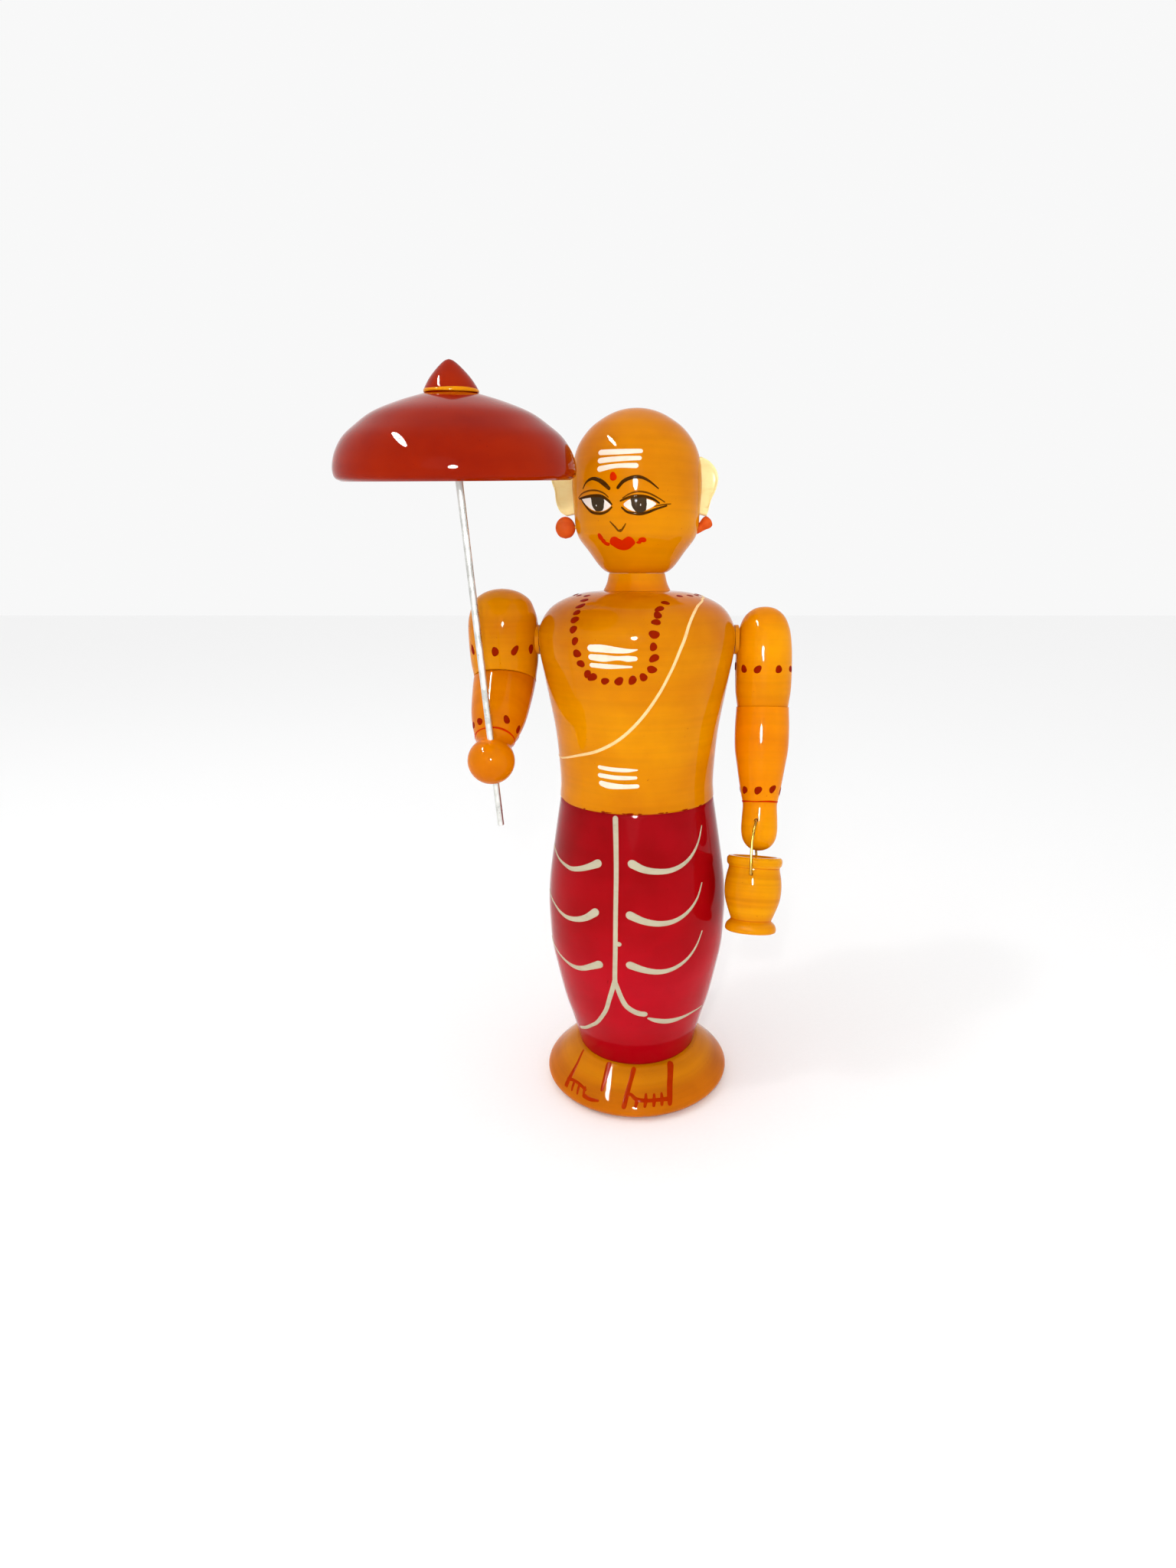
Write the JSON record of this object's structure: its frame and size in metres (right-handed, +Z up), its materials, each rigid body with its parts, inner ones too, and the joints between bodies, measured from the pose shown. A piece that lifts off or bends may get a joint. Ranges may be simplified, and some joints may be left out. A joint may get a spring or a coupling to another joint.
{
  "type": "turned wooden doll",
  "caption": "Turned and lacquered wooden doll of a bald priest, with jointed shoulders, a turning head, an umbrella on a steel rod in one fist and a small pot on a wire bail.",
  "frame": {"origin": "middle of the flat underside of the base", "axes": "+Z up through the turned body's axis, -Y the way the doll faces, +X towards the doll's left hand"},
  "size_m": [0.1156, 0.0878, 0.205],
  "materials": {
    "yellow_lacquer": "glossy yellow-orange lac on turned wood",
    "red_lacquer": "glossy deep red lac on turned wood",
    "brown_lacquer": "glossy red-brown lac on turned wood",
    "cream_paint": "cream paint on flat wood",
    "orange_paint": "orange-red paint on a small turned bead",
    "white_paint": "off-white enamel brush strokes",
    "red_paint": "dull red-brown paint in dots and fine lines",
    "black_paint": "near-black paint of the brows and eyes",
    "bare_wood": "bare pale wood",
    "steel": "bright drawn steel rod",
    "brass": "thin brass wire"
  },
  "bodies": {
    "body": {"base": "yellow_lacquer", "base_dowel": "bare_wood", "dhoti": "red_lacquer", "waist_dowel": "bare_wood", "torso": "yellow_lacquer", "shoulder_peg_right": "bare_wood", "shoulder_peg_left": "bare_wood", "neck_dowel": "bare_wood"},
    "head": {"head": "yellow_lacquer", "ear_right": "cream_paint", "ear_left": "cream_paint", "earring_right": "orange_paint", "earring_left": "orange_paint", "earring_pin_right": "brass", "earring_pin_left": "brass"},
    "right_arm": {"right_upper_arm": "yellow_lacquer", "right_forearm": "yellow_lacquer", "right_elbow_dowel": "bare_wood"},
    "umbrella_stick": {"umbrella_rod": "steel"},
    "umbrella_top": {"canopy": "brown_lacquer", "finial": "brown_lacquer"},
    "left_arm": {"left_upper_arm": "yellow_lacquer", "left_forearm": "yellow_lacquer", "left_elbow_dowel": "bare_wood"},
    "bail": {"pot_bail": "brass"},
    "pot": {"pot": "yellow_lacquer"}
  },
  "joints": [
    {"name": "head_turn", "type": "hinge", "parent": "body", "child": "head", "pos_m": [0, 0, 0.158], "axis": [0, 0, 1], "continuous": true},
    {"name": "right_shoulder_swing", "type": "hinge", "parent": "body", "child": "right_arm", "pos_m": [-0.0284, 0, 0.1395], "axis": [1, 0, 0], "range_deg": [-6, 45]},
    {"name": "umbrella_slide", "type": "slide", "parent": "right_arm", "child": "umbrella_stick", "axis": [-0.045, -0.139, 0.9893], "range_m": [-0.012, 0.014]},
    {"name": "canopy_spin", "type": "hinge", "parent": "umbrella_stick", "child": "umbrella_top", "pos_m": [-0.04305, -0.0328, 0.19318], "axis": [-0.045, -0.139, 0.9893], "continuous": true},
    {"name": "left_shoulder_swing", "type": "hinge", "parent": "body", "child": "left_arm", "pos_m": [0.0284, 0, 0.1395], "axis": [-1, 0, 0], "range_deg": [-1, 80]},
    {"name": "pot_swing", "type": "hinge", "parent": "left_arm", "child": "bail", "pos_m": [0.034, -0.0104, 0.0883], "axis": [0, -0.9563, 0.2924], "range_deg": [-1, 50]},
    {"name": "pot_tilt", "type": "hinge", "parent": "bail", "child": "pot", "pos_m": [0.034, -0.01482, 0.07386], "axis": [-0.2419, -0.9279, 0.2837], "range_deg": [-1, 15]}
  ]
}
